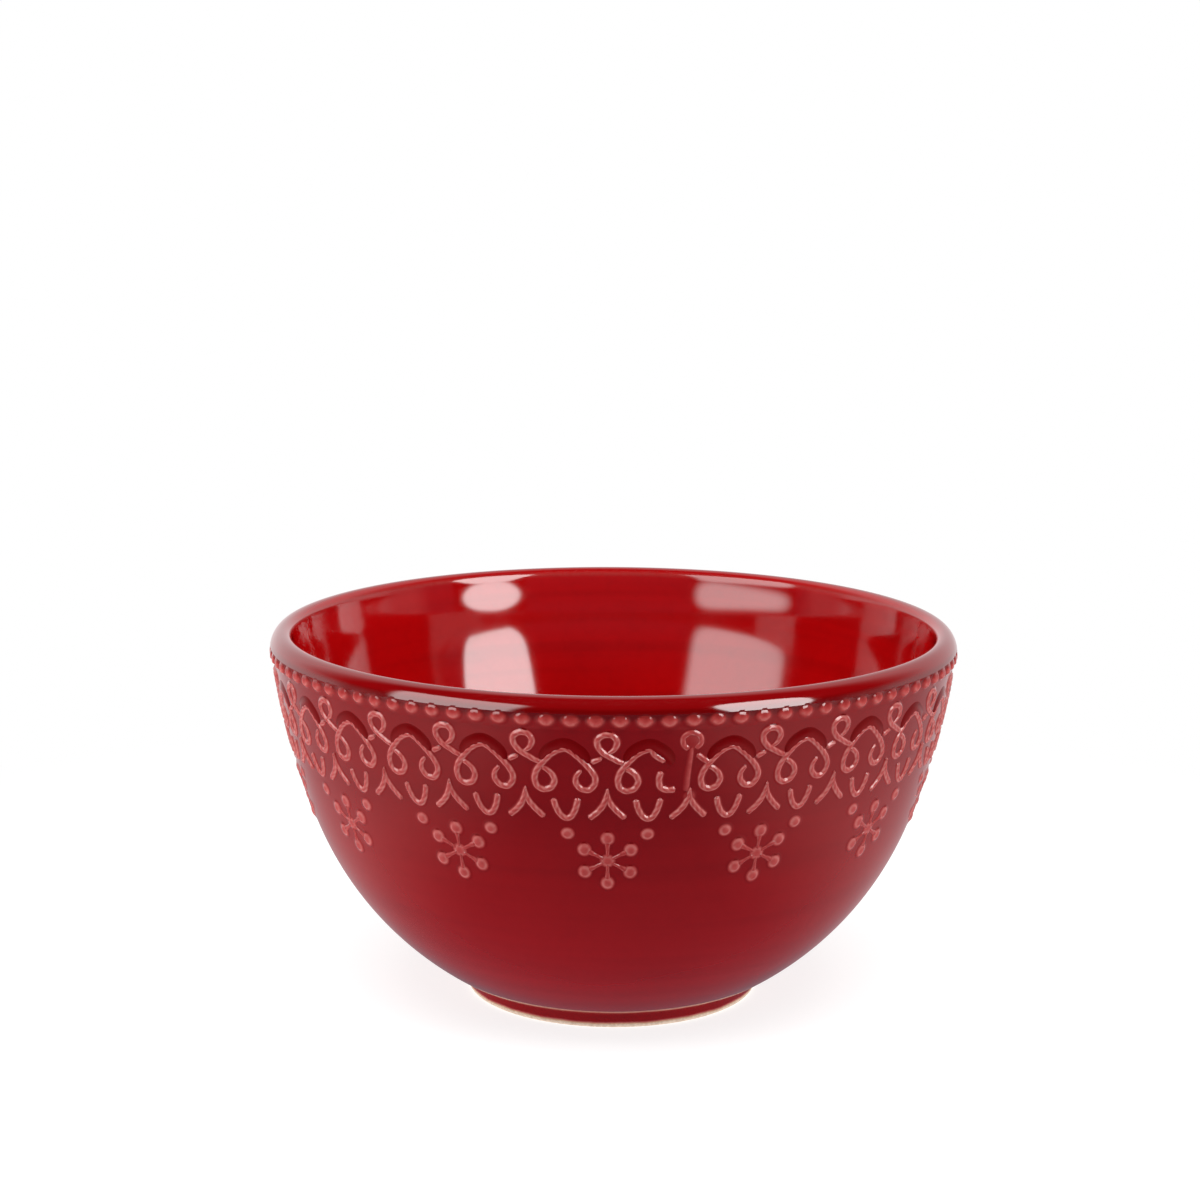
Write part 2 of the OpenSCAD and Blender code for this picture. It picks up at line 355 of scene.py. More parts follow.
# Wall: the hollow body of the bowl, cast in a two-part mould from the same clay and dipped
# in crimson glaze. Outside, a round belly turns into a flare without a kink; inside, the
# hollow runs down to a level floor. It ends at a hidden joint under the beads.
body_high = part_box("bowl_body")[1]
mouth_r = body_high.x
top_z = body_high.z
shoulder_r = 66.2 * MM
shoulder_drop = 36.2 * MM
flare_bulge = 1.0 * MM
foot_step = 2.4 * MM
wall_t = 4.6 * MM
floor_t = 4.6 * MM
floor_flat_r = 12 * MM
joint_z = 75.2 * MM
belly_round = 0.5 * MM
wall_columns = 448
ripple_z = 73.0 * MM
ripple_h = 0.22 * MM
ripple_w = 4.5 * MM
underside_rows = (0, 10 * MM, 20 * MM, 28 * MM)
floor_shares = (0.75, 0.5, 0.25, 0)
belly_step = 1.3 * MM
flare_step = 1.2 * MM
inner_flare_step = 0.8 * MM
hollow_step = 1.6 * MM
# A pale line where belly meets foot: thin glaze and a painted highlight.
foot_edge_thin_and_highlight = 0.5
foot_edge_highlight_w = 0.5 * MM
# Painted shade, partly pooled glaze: the outside darkens towards the upper border.
border_pool_and_shade = 0.35
border_shade_from = 40 * MM
border_shade_to = 60 * MM
floor_pool = 0.10
floor_pool_r = 30 * MM
coat_roughness = 0.075
thin_roughness = 0.3
thin_coat_loss = 0.2
skin_h = 0.6 * MM
skin_strength = 0.10

top_edge = Vector((mouth_r, top_z))
shoulder = Vector((shoulder_r, top_z - shoulder_drop))
foot_edge = Vector((foot_r + foot_step, foot_h))
flare_chord = top_edge - shoulder
flare_in = Vector((-flare_chord.y, flare_chord.x)).normalized()
flare_r = ((flare_chord.length / 2) ** 2 + flare_bulge ** 2) / (2 * flare_bulge)
flare_c = (top_edge + shoulder) / 2 + flare_in * (flare_r - flare_bulge)
shoulder_in = (flare_c - shoulder).normalized()


def tangent_arc(start, end):
    """Centre and radius of the arc that leaves the flare at start without a kink and passes through end."""
    chord = end - start
    size = chord.length_squared / (2 * chord.dot(shoulder_in))
    return start + shoulder_in * size, size


def at_height(centre, size, height):
    """The point of an arc's outer side at a height."""
    return Vector((centre.x + math.sqrt(size ** 2 - (height - centre.y) ** 2), height))


belly_c, belly_r = tangent_arc(shoulder, foot_edge)
inner_shoulder = shoulder + shoulder_in * wall_t
floor_edge = Vector((floor_flat_r, foot_h + floor_t))
hollow_c, hollow_r = tangent_arc(inner_shoulder, floor_edge)
outer_joint = at_height(flare_c, flare_r, joint_z)
inner_joint = at_height(flare_c, flare_r - wall_t, joint_z)


def rippled(point):
    """The inner wall swells in a shallow ring below the lip, where the wet clay was drawn up."""
    return point + Vector((-ripple_h * math.exp(-((point.y - ripple_z) / ripple_w) ** 2), 0))


underside = [Vector((r, foot_h)) for r in underside_rows]
belly_start = foot_edge - Vector((belly_round, 0))
belly = arc(belly_c, belly_r, toward(belly_c, foot_edge), toward(belly_c, shoulder), belly_step)
flare = arc(flare_c, flare_r, toward(flare_c, shoulder), toward(flare_c, outer_joint), flare_step)
inner_flare = arc(
    flare_c, flare_r - wall_t,
    toward(flare_c, inner_joint), toward(flare_c, inner_shoulder), inner_flare_step,
)
hollow = arc(
    hollow_c, hollow_r, toward(hollow_c, inner_shoulder), toward(hollow_c, floor_edge), hollow_step
)
floor_points = [Vector((floor_flat_r * share, floor_edge.y)) for share in floor_shares]
outside = [*underside, belly_start, *belly, *flare[1:]]
inside = [*[rippled(p) for p in inner_flare], *hollow[1:], *floor_points]
wall_section = outside + inside


def border_darkening(height):
    """How dark the outside is painted, partly deeper glaze and partly painted shade: 0 on the belly, and 1 on
    the upper half of the border.
    """
    return min(1, max(0, (height - border_shade_from) / (border_shade_to - border_shade_from)))


wall_marks = {
    "thin": [foot_edge_thin_and_highlight * math.exp(-((p - foot_edge).length / foot_edge_highlight_w) ** 2) for p in wall_section],
    "pool": [
        *[border_pool_and_shade * border_darkening(p.y) for p in outside],
        *[floor_pool * math.exp(-(p.x / floor_pool_r) ** 2) for p in inside],
    ],
    "inner": [0.0] * len(outside) + [1.0] * len(inside),
}


def glaze_skin(finish):
    """The waviness of fired glaze: fine ripples outside, and broad soft waves inside."""
    inner = finish.mark("inner")
    waves = finish.noise(95, 1) * (0.8 - 0.7 * inner) + finish.noise(30, 0) * inner * 5
    return finish.node(
        "ShaderNodeBump", {}, {"Strength": skin_strength, "Distance": skin_h, "Height": waves}
    )


def glaze_finish():
    """The glaze of the wall, the rim and the relief, less glossy where it is thin or marked dull."""
    finish = Finish("crimson_glaze")
    thin = finish.mark("thin")
    return finish.surface({
        "Base Color": glaze_colour(finish),
        "Roughness": glaze_roughness + thin_roughness * thin,
        "Coat Weight": (1 - thin_coat_loss * thin) * (1 - finish.mark("dull")),
        "Coat Roughness": coat_roughness,
        "Coat IOR": glaze_coat_ior,
        "Specular IOR Level": glaze_specular,
        "Normal": glaze_skin(finish),
    })


crimson_glaze = glaze_finish()
wall = section_object("wall", wall_section, wall_marks)
shape_piece(wall, turning, {"Columns": wall_columns, "Material": crimson_glaze})
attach(wall, "root")
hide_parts("bowl_body")

# Rim: the rounded lip with its row of half-sunk beads, cast in one with the wall. The beads'
# upper halves run into the band under the lip. The band and the pits between the beads are
# painted dark, partly deep glaze and partly painted shade, and glaze runs thin over the beads'
# lower halves.
rim_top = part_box("rim_lip")[1].z
lip_spring_z = 77.0 * MM
lip_w = 2.98 * MM
lip_inner_r = 1.85 * MM
lip_rows = 20
lip_inner_step = 0.35 * MM
rim_inner_step = 0.5 * MM
# The lip is darkened a little: partly deep glaze and partly painted shade.
lip_pool_and_shade = 0.20
# A pale line at the lip's inner edge: thin glaze and a painted highlight.
lip_thin_and_highlight = 0.30
lip_highlight_w = 0.5 * MM
beads = 98
bead_columns = 14
bead_z = 77.2 * MM
bead_crest_r = 74.92 * MM
bead_half_w = 1.55 * MM
bead_below = 1.3 * MM
bead_above = 1.3 * MM
bead_edge = 0.95
swell_top = bead_z + 1.4 * MM
crest_fall = 0.125
marked_top = bead_z + 1.2 * MM
pale_top = bead_z + 0.9 * MM
pale_fade = 1.5 * MM
upper_pale = 0.2
bead_thin = 0.40
bead_edge_thin = 0.58
bead_dull = 0.9
gloss_from = bead_z + 0.8 * MM
gloss_fade = 0.5 * MM
band_r = 74.0 * MM
band_foot = joint_z + 0.1 * MM
band_step = 0.15 * MM
band_top = 78.4 * MM
band_outline = [(74.17, 75.7), (74.27, 76.6), (74.33, 77.2), (74.40, 77.7), (74.52, 78.05), (74.68, 78.3)]
# The band under the lip is painted dark: partly deep glaze, partly painted shade and painted dark reflection.
band_dark_z = 78.2 * MM
band_dark_half = 1.3 * MM

beading, brought = new_tree("bead_the_rim", {"Columns": "NodeSocketInt", "Material": "NodeSocketMaterial"})
grid, angle, radius, height, mark = turned_round(beading, brought["Geometry"], brought["Columns"])
bead_step = 2 * math.pi / beads
across = (angle / bead_step).maths("FRACT", angle / bead_step) - 0.5
across = across * (bead_step * mouth_r / bead_half_w)
above = (height - bead_z) / bead_above
below = above.maths("MAXIMUM", (bead_z - height) / bead_below, above)
reach = (across * across + below * below) ** 0.5
dome = 1 / (1 + (reach / bead_edge) ** 10)
lower = upper_pale + (1 - upper_pale) * (pale_top - height).ramp(0, pale_fade)
sheltered = (gloss_from - height).ramp(0, gloss_fade)
sheltered = sheltered.maths("MAXIMUM", sheltered, reach.ramp(0.75, bead_edge))
# The pits between the beads and the band are painted dark as shade; the beads' lower halves are pale with
# thin glaze.
rim_marks = {
    "thin": mark("thin") + mark("outer") * dome * lower * (bead_thin + bead_edge_thin * reach),
    "pool": mark("band") * (1 - dome * lower),
    "dull": mark("outer") * dome.ramp(0.05, 0.5) * bead_dull * sheltered,
    "inner": mark("inner"),
}
closed_turning(beading, grid, angle, radius + dome * mark("swell"), height, rim_marks, brought["Material"])


def filled_in(outline, step):
    """The points of an outline with more between them, about a step apart."""
    points = outline[:1]
    for start, end in zip(outline, outline[1:]):
        count = max(1, round((end - start).length / step))
        points += [start + (end - start) * i / count for i in range(1, count + 1)]
    return points


lip_inner_c = at_height(flare_c, flare_r - wall_t + lip_inner_r, rim_top - lip_inner_r)
lip_rise = rim_top - lip_spring_z


def on_lip(turn):
    """A point of the lip's outer side, a quarter of an oval from the beads to the crest."""
    return Vector((lip_inner_c.x + lip_w * math.cos(turn), lip_spring_z + lip_rise * math.sin(turn)))


rim_outside = filled_in([outer_joint] + [Vector(point) * MM for point in band_outline], band_step)
band_turn = math.asin((band_top - lip_spring_z) / lip_rise)
lip_outside = [on_lip(band_turn + (math.pi / 2 - band_turn) * i / lip_rows) for i in range(lip_rows + 1)]
lip_inside = arc(lip_inner_c, lip_inner_r, 0.5 * math.pi, toward(lip_inner_c, flare_c), lip_inner_step)
rim_inside = arc(
    flare_c, flare_r - wall_t, toward(flare_c, lip_inner_c), toward(flare_c, inner_joint), rim_inner_step
)
rim_inside = [rippled(p) for p in rim_inside]
rim_section = [
    *rim_outside,
    *lip_outside,
    *lip_inside[1:],
    *rim_inside[1:],
    (inner_joint + outer_joint) / 2,
    outer_joint,
]


def on_band(point, top):
    """Whether a point lies on the outside, between the wall's joint and a height."""
    return point.x > band_r and band_foot < point.y < top


def bead_swell(point):
    """How far a bead's crest stands out from the band. Over the lip's spring it falls back."""
    crest = bead_crest_r - crest_fall * max(0, point.y - lip_spring_z) ** 2 / MM
    return max(0, crest - point.x)


def band_pool_and_shade(point):
    """How dark the band is painted, partly deep glaze and partly painted shade: darkest over the beads, and
    less on the lip.
    """
    return max(lip_pool_and_shade, math.exp(-((point.y - band_dark_z) / band_dark_half) ** 4))


# At the lip's inner edge the pale thin mark is partly a painted highlight.
rim_drawn = {
    "outer": [float(on_band(p, marked_top)) for p in rim_section],
    "swell": [bead_swell(p) if on_band(p, swell_top) else 0.0 for p in rim_section],
    "band": [band_pool_and_shade(p) if p.x > lip_inner_c.x else 0.0 for p in rim_section],
    "thin": [lip_thin_and_highlight * math.exp(-((p - lip_inside[-2]).length / lip_highlight_w) ** 2) for p in rim_section],
    "inner": [min(1, max(0, (lip_inner_c.x - p.x) / lip_inner_r)) for p in rim_section],
}
rim = section_object("rim", rim_section, rim_drawn)
shape_piece(rim, beading, {"Columns": beads * bead_columns, "Material": crimson_glaze})
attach(rim, "root")
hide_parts("rim_lip", "bead_row")

# Lace arches: raised strokes of the clay itself, from lines carved into the mould, whose ends
# curl inwards. Glaze runs thin and pale on their edges, and their feet carry painted shade. A
# bank of pooled glaze rests on the top of each arch, painted dark as deep glaze, painted shade
# and painted dark reflection. Beside the mould's joint, one curl is left open.
repeats = 14
arches = 2 * repeats
arch_turn = 2 * math.pi / arches
sheet_pitch = 16.16 * MM
stroke_half = 0.47 * MM
stroke_h = 0.40 * MM
stroke_gap = 0.3 * MM
stroke_edge = 0.95
stroke_reach = 2.2
stroke_rows = 17
foot_fill = 0.09
middle_thin = 0.60
dot_thin = 0.60
# Painted shade along the feet of the strokes.
painted_foot_shade = 0.35
twist_length = 1.6 * MM
twist_h = 0.08
twist_thin = 0.20
twist_slant = 3
bank_dull = 0.9
sunk = 0.03 * MM
button_edge = 1.12
button_sides = 24
button_rings = 10
joints = 2


def emboss_tree():
    """The nodes that raise drawn lines and dots off a flat sheet and wrap it round the wall."""
    tree, brought = new_tree("emboss_on_wall", {
        "Count": "NodeSocketInt", "First": "NodeSocketFloat", "Step": "NodeSocketFloat",
        "Skip": "NodeSocketInt", "Material": "NodeSocketMaterial",
    })
    marks = brought["Geometry"]

    def mark(name):
        return tree.node("GeometryNodeInputNamedAttribute", {}, {"Name": name})

    def keep(geometry, **values):
        for name, value in values.items():
            geometry = tree.node(
                "GeometryNodeStoreNamedAttribute", {}, {"Geometry": geometry, "Name": name, "Value": value}
            )
        return geometry

    def crown(off, middle):
        """Height, thin glaze and painted foot shade at a distance off the middle, where 1 is the edge."""
        lift = 1 / (1 + (off / stroke_edge) ** 4) + foot_fill * (1 - (off / stroke_reach) ** 2)
        thin = (middle + (1 - middle) * off.ramp(0.35, 0.95)) * (1 - off.ramp(1.00, 1.55))
        return {"lift": lift, "thin": thin, "shade": off.ramp(1.20, 1.60) * (1 - off.ramp(1.60, 2.10))}

    place = tree.node("ShaderNodeSeparateXYZ", {}, {"Vector": tree.node("GeometryNodeInputPosition")})
    width = mark("half_width")

    lines = tree.node("GeometryNodeMeshToCurve", {}, {"Mesh": marks})
    lines = tree.node("GeometryNodeCurveSplineType", {"spline_type": "CATMULL_ROM"}, {"Curve": lines})
    lines = tree.node("GeometryNodeResampleCurve", {"mode": "LENGTH"}, {"Curve": lines, "Length": stroke_gap})
    run = tree.node("GeometryNodeSplineParameter", out="Length")
    full = tree.node("GeometryNodeSplineLength", out="Length")
    end = run.maths("MINIMUM", run, full - run) / width
    end = end.maths("MINIMUM", end, 1)
    blunt = (0.02 + 0.98 * (1 - (1 - end) ** 2)) ** 0.5
    lines = keep(lines, blunt=blunt, run=run)
    lines = tree.node("GeometryNodeSetCurveNormal", {"mode": "FREE"}, {"Curve": lines, "Normal": (0, -1, 0)})
    edge = tree.node("GeometryNodeMeshLine", {}, {
        "Count": stroke_rows,
        "Start Location": (0, -stroke_reach, 0),
        "Offset": (0, 2 * stroke_reach / (stroke_rows - 1), 0),
    })
    side = -1 * place.out("Y")
    off = abs(side)
    bank = side.ramp(-0.45, -0.05) * (1 - side.ramp(0.20, 2.0))
    brink = 0.65 + 0.35 * side.ramp(0.40, 1.50)
    edge = keep(edge, side=side, bank=bank, brink=brink, **crown(off, middle_thin))
    edge = tree.node("GeometryNodeMeshToCurve", {}, {"Mesh": edge})
    edge = tree.node("GeometryNodeSetSplineCyclic", {}, {"Geometry": edge, "Cyclic": True})
    strokes = tree.node("GeometryNodeCurveToMesh", {}, {
        "Curve": lines, "Profile Curve": edge, "Scale": width * mark("blunt"), "Fill Caps": True,
    })

    alone = tree.node("GeometryNodeInputMeshVertexNeighbors", out="Vertex Count")
    spots = tree.node("GeometryNodeMeshToPoints", {}, {"Mesh": marks, "Selection": 1 - alone})
    disc = tree.node("GeometryNodeMeshCone", {}, {
        "Vertices": button_sides, "Side Segments": button_rings,
        "Radius Top": 0, "Radius Bottom": stroke_reach, "Depth": 1 * MM,
    })
    off = (place.out("X") ** 2 + place.out("Y") ** 2) ** 0.5
    disc = keep(disc, blunt=1, **crown(off, dot_thin))
    flat = tree.node("ShaderNodeCombineXYZ", {}, {"X": place.out("X"), "Y": 0, "Z": place.out("Y")})
    disc = tree.node("GeometryNodeSetPosition", {}, {"Geometry": disc, "Position": flat})
    size = tree.node("ShaderNodeCombineXYZ", {}, {"X": width, "Y": 1, "Z": width * (1 - mark("squat"))})
    buttons = tree.node("GeometryNodeInstanceOnPoints", {}, {
        "Points": spots, "Instance": disc, "Scale": size,
    })
    buttons = tree.node("GeometryNodeRealizeInstances", {}, {"Geometry": buttons})
    motif = tree.node("GeometryNodeJoinGeometry", {}, {"Geometry": strokes})
    tree.tree.links.new(buttons.socket, motif.socket.node.inputs["Geometry"])

    row = tree.node("GeometryNodeMeshLine", {}, {
        "Count": brought["Count"],
        "Start Location": tree.node("ShaderNodeCombineXYZ", {}, {"X": brought["First"] * sheet_pitch}),
        "Offset": tree.node("ShaderNodeCombineXYZ", {}, {"X": brought["Step"] * sheet_pitch}),
    })
    index = tree.node("GeometryNodeInputIndex")
    left_out = index.maths("COMPARE", index % repeats, brought["Skip"], 0.1)
    row = tree.node("GeometryNodeDeleteGeometry", {}, {"Geometry": row, "Selection": left_out})
    sheet = tree.node("GeometryNodeInstanceOnPoints", {}, {"Points": row, "Instance": motif})
    sheet = tree.node("GeometryNodeRealizeInstances", {}, {"Geometry": sheet})

    lean = mark("lean")
    turn = mark("run") * (2 * math.pi / twist_length) + twist_slant * mark("side")
    twist = turn.maths("SINE", turn)
    lift = mark("lift") * (1 + twist_h * twist)
    lift = lift + (mark("bank") - lift) * lean
    proud = lift * mark("rise") * mark("blunt") - sunk
    thin = mark("thin") * (1 + twist_thin * twist)
    thin = thin + (mark("bank") * (0.35 + 0.65 * mark("bank")) - thin) * lean
    # Banks are painted dark as pooled glaze and painted shade, darker toward their far side; stroke feet get
    # painted shade.
    dull = mark("pool") * mark("bank").ramp(0.01, 0.06)
    banked = dull * mark("brink")
    pool_and_painted_shade = banked.maths("MAXIMUM", banked, mark("shade") * (1 - lean) * painted_foot_shade)
    sheet = keep(sheet, thin=thin * mark("pale"), pool=pool_and_painted_shade, dull=dull * bank_dull, proud=proud)

    turn = place.out("X") * (arch_turn / sheet_pitch)
    level = top_z + place.out("Z")
    low = level.maths("LESS_THAN", level, shoulder.y)
    centre_r = flare_c.x + low * (belly_c.x - flare_c.x)
    centre_z = flare_c.y + low * (belly_c.y - flare_c.y)
    curve_r = flare_r + low * (belly_r - flare_r)
    rise = level - centre_z
    out = (curve_r * curve_r - rise * rise) ** 0.5
    far = centre_r + out * (1 + mark("proud") / curve_r)
    wrapped = tree.node("ShaderNodeCombineXYZ", {}, {
        "X": far * turn.maths("SINE", turn),
        "Y": -1 * far * turn.maths("COSINE", turn),
        "Z": level + mark("proud") * rise / curve_r,
    })
    sheet = tree.node("GeometryNodeSetPosition", {}, {"Geometry": sheet, "Position": wrapped})
    sheet = tree.node("GeometryNodeSetShadeSmooth", {}, {"Geometry": sheet})
    sheet = tree.node("GeometryNodeSetMaterial", {}, {"Geometry": sheet, "Material": brought["Material"]})
    tree.node("NodeGroupOutput", {}, {"Geometry": sheet})
    return tree


embossing = emboss_tree()
drawn_marks = ("half_width", "rise", "pale", "pool", "lean", "squat")


def stroke(points, widths=(1,), heights=(1,), pale=1, pool=0, lean=0):
    """A raised line through points (across, drop) in millimetres.

    Widths and heights are shares of the usual ones, spread evenly from its start to its end.
    """
    last = len(points) - 1

    def along(shares, i):
        spot = i * (len(shares) - 1) / max(last, 1)
        left = min(int(spot), max(len(shares) - 2, 0))
        right = min(left + 1, len(shares) - 1)
        return shares[left] + (shares[right] - shares[left]) * (spot - left)

    return [
        (p, along(widths, i) * stroke_half, along(heights, i) * stroke_h, pale, pool, lean, 0)
        for i, p in enumerate(points)
    ]


def bank(points, widths, heights):
    """A bank of pooled glaze that slopes away from a line, to the left of the way that it is drawn, painted
    dark as deep glaze, painted shade and painted dark reflection.
    """
    return stroke(points, widths, heights, pale=0, pool=1, lean=1)


def dot(point, width, height, squat=0, pale=1):
    """A raised round button, with its width and height in millimetres."""
    return [(point, width / 2 * MM / button_edge, height * MM, pale, 0, 0, squat)]


def emboss(name, lines, count, first, step=1, skip=-1):
    """A relief piece: lines and dots on one sheet, repeated round the wall.

    First and step are counted in arches. In each half of the row, place number skip is left out.
    """
    points = [mark for line in lines for mark in line]
    edges = []
    start = 0
    for line in lines:
        edges += [(start + i, start + i + 1) for i in range(len(line) - 1)]
        start += len(line)
    mesh = bpy.data.meshes.new(name)
    mesh.from_pydata([(p[0] * MM, 0, -p[1] * MM) for p, *_ in points], edges, [])
    for place, title in enumerate(drawn_marks, 1):
        values = [mark[place] for mark in points]
        mesh.attributes.new(title, "FLOAT", "POINT").data.foreach_set("value", values)
    made = bpy.data.objects.new(name, mesh)
    bpy.context.scene.collection.objects.link(made)
    shape_piece(made, embossing, {
        "Count": count, "First": first, "Step": step, "Skip": skip, "Material": crimson_glaze,
    })
    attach(made, "root")
    return made


arch_left = [
    (-4.7, 11.2), (-3.6, 11.7), (-2.6, 12.7), (-2.2, 14.0), (-2.9, 15.4), (-4.4, 15.9),
    (-5.7, 15.2), (-6.1, 13.6), (-5.6, 11.9), (-4.3, 10.1), (-2.3, 8.1), (0, 7.25),
]
arch_right = [
    (2.0, 8.5), (4.1, 10.6), (5.4, 12.4), (5.75, 13.7), (5.4, 14.8), (4.5, 15.7),
    (3.1, 15.6), (2.1, 14.6), (1.9, 13.5), (2.3, 12.5), (3.1, 11.6),
]
arch_bank = bank(
    [(-4.5, 10.3), (-3.3, 9.0), (-2.0, 7.9), (0, 7.25), (2.0, 8.4), (3.1, 9.5), (4.3, 10.7)],
    (1.6, 2.5, 2.7, 2.7, 2.7, 2.5, 1.6), (0.7, 0.9, 1.0, 1.0, 1.0, 0.9, 0.7),
)
curl_ends = (0.75, 1, 1, 1, 1, 1, 1, 1, 0.6)
arch_stroke = stroke(arch_left + arch_right, curl_ends, curl_ends)
lace_arches = emboss("lace_arches", [arch_stroke, arch_bank], arches, 0.5, skip=0)
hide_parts("lace_arches")

short_slope = arch_left + [(1.0, 8.5), (3.0, 9.8)]
open_curl = [(2.2, 11.8), (1.8, 13.6), (2.2, 15.2), (3.6, 15.8), (5.2, 15.7)]
emboss("lace_arches_at_joint", [stroke(short_slope), stroke(open_curl), arch_bank], joints, 0.5, repeats)

# Top loops: a small loop between every two arches, with a tail that runs into the next arch
# and a dash that meets the last one. They are strokes of the same mould. Where the mould's
# halves meet, the loop is half filled and its dash is lost.
loop_line = [
    (-0.1, 8.15), (0.7, 7.75), (1.4, 7.0), (1.75, 6.0), (1.5, 5.0), (0.7, 4.35), (-0.4, 4.25), (-1.5, 4.75),
    (-2.0, 5.7), (-1.7, 6.9), (-0.8, 8.0), (0.4, 8.75), (2.0, 9.7), (3.2, 10.2),
]
dash_line = [(-1.0, 9.05), (-2.1, 9.5), (-3.2, 10.05)]
loop_ends = (0.45, 1, 1, 1, 1, 0.8)
# A small bank over the loop's top, painted dark as pooled glaze and painted shade.
loop_bank = bank(
    [(-1.9, 5.2), (-1.2, 4.5), (0, 4.2), (1.0, 4.5), (1.5, 5.2)],
    (0.6, 1.0, 1.1, 1.0, 0.6), (0.3, 0.6, 0.7, 0.6, 0.3),
)
loop_strokes = [stroke(loop_line, loop_ends, loop_ends), stroke(dash_line, (0.6, 0.8, 0.9)), loop_bank]
top_loops = emboss("top_loops", loop_strokes, arches, 0, skip=1)
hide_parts("top_loops")
filled_loop = [
    (0.5, 7.3), (1.5, 6.4), (1.5, 5.1), (0.5, 4.2), (-0.9, 4.2), (-1.9, 5.2), (-1.6, 6.7), (-0.6, 7.4),
]
joint_tail = [(0.9, 8.5), (2.5, 9.8), (3.6, 10.5)]
joint_loop = [
    stroke(filled_loop, (0.9,), (0.7,), pale=0.75),
    dot((-0.1, 5.8), 3.0, 0.20, pale=0.2),
    stroke(joint_tail, (0.9,), (0.8,), pale=0.8),
]
emboss("top_loops_at_joint", joint_loop, joints, 1, repeats)

# V sprigs: a small V with a blunt bottom under each arch, of the same raised clay.
# Its arms end just below the curls of that arch.
v_line = [
    (-2.6, 17.7), (-2.1, 19.6), (-1.3, 21.1), (-0.4, 21.8),
    (0.4, 21.8), (1.2, 21.0), (1.9, 19.4), (2.3, 17.5),
]
v_sprigs = emboss("v_sprigs", [stroke(v_line)], arches, 0.5)
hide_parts("v_sprigs")

# Forked sprigs: under each loop a stem that starts as a fine point and forks into two legs,
# in the same raised clay.
left_leg = [(0, 15.4), (-0.2, 17.0), (-0.8, 18.8), (-2.0, 20.4), (-3.8, 21.9)]
right_leg = [(0, 15.9), (0.2, 17.6), (0.8, 18.9), (2.0, 20.3), (3.6, 21.8)]
leg_widths = (0.3, 0.8, 1, 1, 1)
sprig_strokes = [stroke(left_leg, leg_widths), stroke(right_leg, leg_widths)]
forked_sprigs = emboss("forked_sprigs", sprig_strokes, arches, 0)
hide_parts("forked_sprigs")

# Dots: a flat round button of clay under each V, pressed with the rest of the border.
# Each is a little wider than tall.
dot_drop = 25.2
dot_w = 2.3
dot_h = 0.42
dot_row = emboss("dot_row", [dot((0, dot_drop), dot_w, dot_h, squat=0.1, pale=0.85)], arches, 0.5)
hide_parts("dot_row")

# Snowflakes: six arms with round knobs round a low soft hub, one under every second sprig,
# the last row of the same raised border. The arms lie lower than the knobs, and glaze pools
# over each knob, painted dark there as deep glaze and painted shade.
hub_drop = 31.1
hub_w = 2.6
hub_h = 0.24
arms = 6
arm_l = 5.2
knob_w = 2.4
knob_h = 0.42
hub_spot = at_height(flare_c, flare_r, top_z - hub_drop * MM)
sheet_wide = sheet_pitch / (arch_turn * hub_spot.x)
sheet_deep = (hub_spot - flare_c).normalized().x


def on_flake(arm, reach):
    """The point of the sheet at a distance along an arm, so that the flake is round on the wall."""
    turn = arm * 2 * math.pi / arms
    return (reach * math.sin(turn) * sheet_wide, hub_drop + reach * math.cos(turn) * sheet_deep)


flake = [dot(on_flake(0, 0), hub_w, hub_h, squat=0.1, pale=0.72)]
for arm in range(arms):
    across, drop = on_flake(arm, arm_l)
    along_arm = [on_flake(arm, share * arm_l) for share in (0.15, 0.5, 0.85)]
    over_knob = [
        (across + knob_w / 2 * math.sin(turn), drop - knob_w / 2 * math.cos(turn))
        for turn in (-1, -0.5, 0, 0.5, 1)
    ]
    flake.append(dot((across, drop), knob_w, knob_h, pale=0.8))
    flake.append(stroke(along_arm, (0.55, 0.6, 1.1), (0.6, 0.6, 0.8), pale=0.6))
    flake.append(bank(over_knob, (0.3, 0.8, 0.9, 0.8, 0.3), (0.1, 0.3, 0.35, 0.3, 0.1)))
snowflakes = emboss("snowflakes", flake, repeats, 0, 2)
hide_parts("snowflakes")

# Mould joint: the low ridge of clay that the two halves of the mould leave under a loop, on
# both sides of the bowl, scraped but not sanded away. One side of it is sharp, the other soft.
ridge = [(-0.5, 16.4), (-0.35, 13.3), (-0.2, 11.0), (0, 8.8), (0.05, 7.0)]
ridge_stroke = stroke(ridge, (1.4, 1.4, 1.3, 1.2, 0.9), (0.5, 0.8, 0.8, 0.7, 0.4), pale=0.55, lean=1)
ridge_foot = dot((-0.1, 17.4), 2.0, 0.30, pale=0.2)
mould_joint = emboss("mould_joint", [ridge_stroke, ridge_foot], joints, 1, repeats)
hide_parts("mould_seams")

# Stage: a pale floor that fades into a white room. The glaze mirrors a tent of cloth, dark in
# front and lighter beside and behind the bowl, and two bright softboxes, all out of the camera's
# sight. Three soft lamps light the bowl and aren't mirrored.
floor_half = 3.0
near_floor = 0.09
far_floor = 0.26
floor_grey = (0.35, 0.35, 0.35, 1)
ambient = 0.35
floor_glow = 0.15
foot_glow = 1.12
foot_glow_left = 0.8
foot_glow_right = 0.4
left_glow = 2.25
right_glow = 1.35
seen_glow = 0.80
cloth_half = 1.6
cloth_h = 2.6
cloth_lift = 0.3 * MM
front_cloth = (0.080, 0.072, 0.100, 1)
# Pink beside the bowl: painted red bounce light, mirrored where the floor near the bowl would catch it.
side_cloth = (0.465, 0.275, 0.288, 1)
back_left_cloth = (0.88, 0.75, 0.76, 1)
back_right_cloth = (0.70, 0.57, 0.58, 1)
black = (0, 0, 0, 1)
white = (1, 1, 1, 1)
flat_corners = ((-1, -1), (1, -1), (1, 1), (-1, 1))


